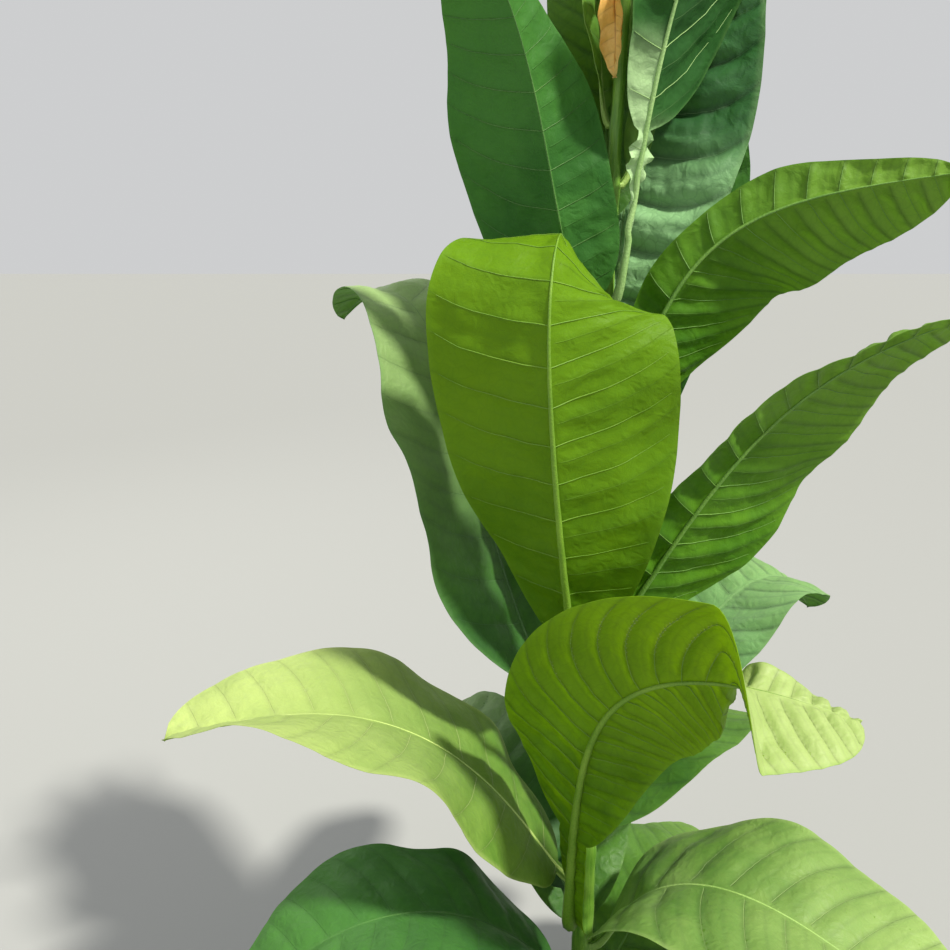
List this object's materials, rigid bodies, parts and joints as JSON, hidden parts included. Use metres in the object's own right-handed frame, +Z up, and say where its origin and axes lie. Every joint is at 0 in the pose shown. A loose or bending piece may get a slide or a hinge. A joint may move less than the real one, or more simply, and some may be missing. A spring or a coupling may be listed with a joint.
{
  "type": "tobacco plant",
  "caption": "Tall leafy field crop plant: one upright green stem with large pointed leaves spiralling up it to a leafy tip, rooted in the ground.",
  "frame": {"origin": "middle of the flat cut under the stem, at ground level", "axes": "+Z up the stem, and the picture looks along +Y with +X to the right"},
  "size_m": [0.9675, 1.0018, 1.8552],
  "materials": {
    "stem": "satin green skin with fine hairs",
    "leaf": "soft matt leaf with a slight sheen",
    "young_leaf": "soft matt young leaf",
    "withered_leaf": "dry papery leaf"
  },
  "bodies": {
    "root": {"stem": "stem", "bud": "young_leaf", "leaf_01": "leaf", "leaf_02": "leaf", "leaf_03": "leaf", "leaf_04": "leaf", "leaf_05": "leaf", "leaf_06": "leaf", "leaf_07": "leaf", "leaf_08": "leaf", "leaf_09": "leaf", "leaf_10": "leaf", "leaf_11": "leaf", "leaf_12": "leaf", "leaf_13": "leaf", "leaf_14": "leaf", "leaf_15": "leaf", "leaf_16": "leaf", "leaf_17": "leaf", "leaf_18": "leaf", "leaf_19": "leaf", "leaf_20": "leaf", "leaf_21": "leaf", "leaf_22": "leaf", "leaf_23": "leaf", "leaf_24": "leaf", "leaf_25": "leaf", "leaf_26": "leaf", "leaf_27": "leaf", "leaf_28": "leaf", "leaf_29": "leaf", "leaf_30": "leaf", "withered_leaf": "withered_leaf"}
  },
  "joints": []
}
